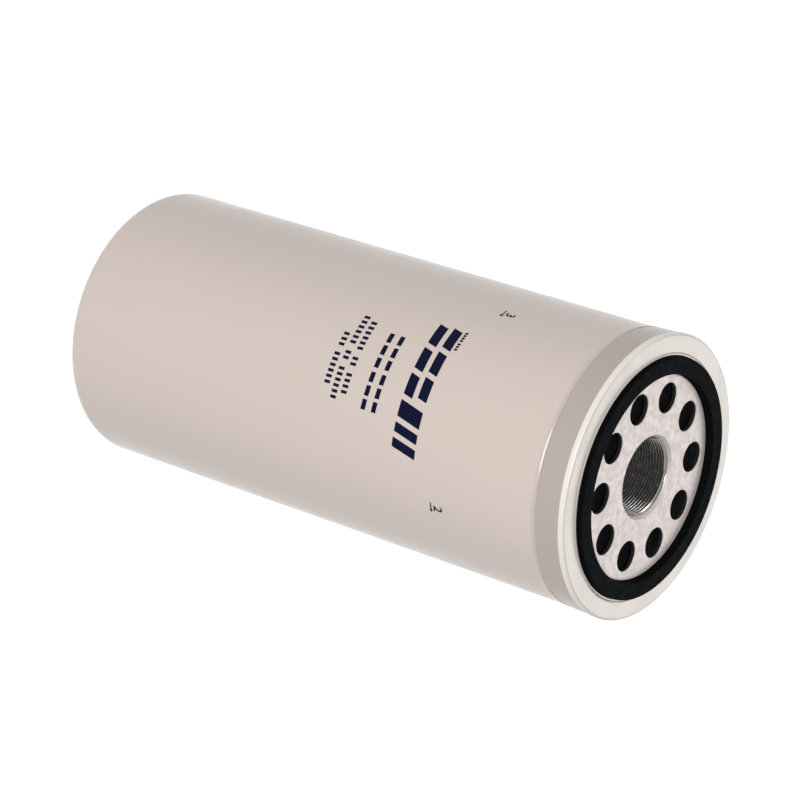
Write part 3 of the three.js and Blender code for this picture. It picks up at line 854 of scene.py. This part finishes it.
def element_pieces():
    """Turned pieces of the element, in finer rounds than the CAD's."""
    grommet_out = GROMMET_IN + 3.8
    flange_low = GROMMET_TOP - 1.5
    lathe("hub_grommet", [
        (GROMMET_IN, GROMMET_LOW, 0.5),
        (grommet_out, GROMMET_LOW, 0.8),
        (grommet_out, flange_low, 0.3),
        (GROMMET_REACH, flange_low, 0.4),
        (GROMMET_REACH, GROMMET_TOP, 0.5),
        (GROMMET_IN, GROMMET_TOP, 0.6),
    ], SEAL_RUBBER, "element", "seal_rubber", "inner_seal_grommet", segments=ROUND)
    cap = 0.8
    skirt = 6
    lathe("end_cap_upper", [
        (CAP_COLLAR, COLLAR_LOW, 0.2),
        (CAP_COLLAR + cap, COLLAR_LOW, 0.2),
        (CAP_COLLAR + cap, CAP_TOP - cap, 0.3),
        (CAP_EDGE - cap, CAP_TOP - cap, 0.5),
        (CAP_EDGE - cap, CAP_TOP - skirt, 0.2),
        (CAP_EDGE, CAP_TOP - skirt, 0.2),
        (CAP_EDGE, CAP_TOP, 1.2),
        (CAP_COLLAR, CAP_TOP, 0.9),
    ], CAP_STEEL, "element", "cap_steel", "top_end_cap", segments=ROUND)
    lathe("end_cap_lower", [
        (BYPASS_PORT, CAP_LOW, 0.3),
        (CAP_EDGE, CAP_LOW, 1.2),
        (CAP_EDGE, CAP_RIM_TOP, 0.2),
        (CAP_EDGE - cap, CAP_RIM_TOP, 0.2),
        (CAP_EDGE - cap, CAP_LOW + cap, 0.5),
        (BYPASS_PORT, CAP_LOW + cap, 0.3),
    ], CAP_STEEL, "element", "cap_steel", "bottom_end_cap", segments=ROUND)
    for end, node, low, high in (
        ("lower", "bottom_potting", POTTING_LOW, POTTING_HIGH),
        ("upper", "top_potting", TOP_POTTING_LOW, TOP_POTTING_HIGH),
    ):
        lathe(f"potting_{end}", [
            (POTTING_IN, low, 0.4),
            (POTTING_OUT, low, 0.4),
            (POTTING_OUT, high, 0.7),
            (POTTING_IN, high, 0.7),
        ], RESIN, "element", "potting_resin", node, segments=ROUND)
    lathe("bypass_seat", [
        (WASHER_IN, WASHER_LOW, 0.3),
        (WASHER_OUT, WASHER_LOW, 0.3),
        (WASHER_OUT, WASHER_TOP, 0.4),
        (WASHER_IN, WASHER_TOP, 0.4),
    ], SEAL_RUBBER, "element", "seal_rubber", "bypass_seat_washer", segments=ROUND)


def bypass_poppet():
    """The relief valve's plate and its guide stem."""
    plate_top = POPPET_LOW + 1.2
    stem = 2.5
    lathe("bypass_plate", [
        (0, POPPET_LOW, 0),
        (POPPET_OUT, POPPET_LOW, 0.5),
        (POPPET_OUT, plate_top, 0.4),
        (stem, plate_top, 0.6),
        (stem, STEM_TOP, 0.6),
        (0, STEM_TOP, 0),
    ], CAP_STEEL, "bypass_valve", "cap_steel", "bypass_poppet", segments=ROUND)


def carried_over():
    """CAD nodes that stay: softened edges, smooth rounds and a finish of their own."""
    stays = {
        "center_tube": (TUBE_STEEL, 0.12),
        "pleated_media": (PAPER, 0.05),
        "media_seam_clip": (CAP_STEEL, 0.08),
        "pleat_bead_lower": (RESIN, 0.12),
        "pleat_bead_middle": (RESIN, 0.12),
        "pleat_bead_upper": (RESIN, 0.12),
        "bypass_cage": (CAP_STEEL, 0.15),
    }
    for name, (finish, edge) in stays.items():
        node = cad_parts[name]
        node.data.materials.clear()
        node.data.materials.append(finish)
        smooth(node.data, 30)
        soften = node.modifiers.new("soft edges", "BEVEL")
        soften.width = edge * MM
        soften.segments = 2
        soften.limit_method = "ANGLE"
        soften.angle_limit = math.radians(40)
        node.modifiers.new("flat faces stay flat", "WEIGHTED_NORMAL").keep_sharp = True


can()
seaming_lid()
base_plate()
gasket()
drainback_valve()
wound_wire(
    "element_coil", "element_spring", "housing",
    reaches=(36, 30), low=SPRING_LOW, top=SPRING_TOP, turns=3, wire=1.6,
)
printing()
element_pieces()
bypass_poppet()
wound_wire(
    "bypass_coil", "bypass_spring", "element",
    reaches=(9, 9), low=BYPASS_SPRING_LOW, top=BYPASS_SPRING_TOP, turns=3.5, wire=0.9,
)
carried_over()


# --- Studio --------------------------------------------------------------------------------------

LID_CENTRE = Vector((0, 0, LID * MM))
ELEVATION = math.radians(33.995)
ROLL_ANGLE = math.radians(107.82)
LENS = 146.46  # focal length in millimetres, on a sensor 36 mm wide
AHEAD = 1.5062  # lid centre in front of the camera, in metres
ASIDE = 0.11532  # lid centre to the right of the view's axis
BELOW = 0.03613  # lid centre below the view's axis


def camera():
    """The photo's viewpoint: above the open end, and rolled so that the can lies on its side."""
    forward = Vector((0, math.cos(ELEVATION), -math.sin(ELEVATION)))
    level_right = Vector((1, 0, 0))
    level_up = level_right.cross(forward)
    right = math.cos(ROLL_ANGLE) * level_right + math.sin(ROLL_ANGLE) * level_up
    up = math.cos(ROLL_ANGLE) * level_up - math.sin(ROLL_ANGLE) * level_right
    data = bpy.data.cameras.new("camera")
    data.lens = LENS
    data.sensor_width = 36
    seen_by = bpy.data.objects.new("camera", data)
    SCENE.collection.objects.link(seen_by)
    turn = Matrix((right, up, -forward)).transposed()
    place = LID_CENTRE - ASIDE * right + BELOW * up - AHEAD * forward
    seen_by.matrix_world = Matrix.Translation(place) @ turn.to_4x4()
    SCENE.camera = seen_by


def floor(glow):
    """A large pale floor that glows evenly, so it stays white as a product photo's ground does."""
    reach = 9000
    under = -5
    top = -0.3
    outline = [Vector(corner) for corner in ((0, under), (reach, under), (reach, top), (0, top))]
    mesh = mesh_of("floor", turned(outline, 64))
    pale = Finish(
        "pale_floor", (0.05, 0.05, 0.05), 1.0,
        Emission_Color=(1, 1, 1, 1), Emission_Strength=glow, Specular_IOR_Level=0.0,
    )
    mesh.materials.append(pale.material)
    ground = bpy.data.objects.new("floor", mesh)
    SCENE.collection.objects.link(ground)


def softbox(name, azimuth, elevation, distance, size, radiance):
    """A square area light aimed at the lid; its radiance is what a mirror would see."""
    azimuth = math.radians(azimuth)
    elevation = math.radians(elevation)
    level = math.cos(elevation)
    away = Vector((math.cos(azimuth) * level, math.sin(azimuth) * level, math.sin(elevation)))
    data = bpy.data.lights.new(name, "AREA")
    data.size = size
    data.energy = radiance * math.pi * size ** 2
    light = bpy.data.objects.new(name, data)
    light.rotation_mode = "QUATERNION"
    light.rotation_quaternion = away.to_track_quat("Z", "Y")
    light.location = LID_CENTRE + away * distance
    light.visible_camera = False
    SCENE.collection.objects.link(light)


def backdrop(brightness):
    """A white surround that the camera and reflections see; it lights no matt surface."""
    world = bpy.data.worlds.new("studio")
    world.use_nodes = True
    shade = world.node_tree.nodes["Background"]
    shade.inputs["Color"].default_value = (1, 1, 1, 1)
    shade.inputs["Strength"].default_value = brightness
    SCENE.world = world
    world.cycles_visibility.diffuse = False


camera()
floor(1.04)
backdrop(1.0)
softbox("front_light", azimuth=-85, elevation=38, distance=4.0, size=1.75, radiance=18.2)
softbox("lid_light", azimuth=90, elevation=34, distance=2.2, size=1.1, radiance=3.8)
softbox("thread_light", azimuth=150, elevation=48, distance=2.2, size=0.85, radiance=4.5)
SCENE.view_settings.view_transform = "Standard"
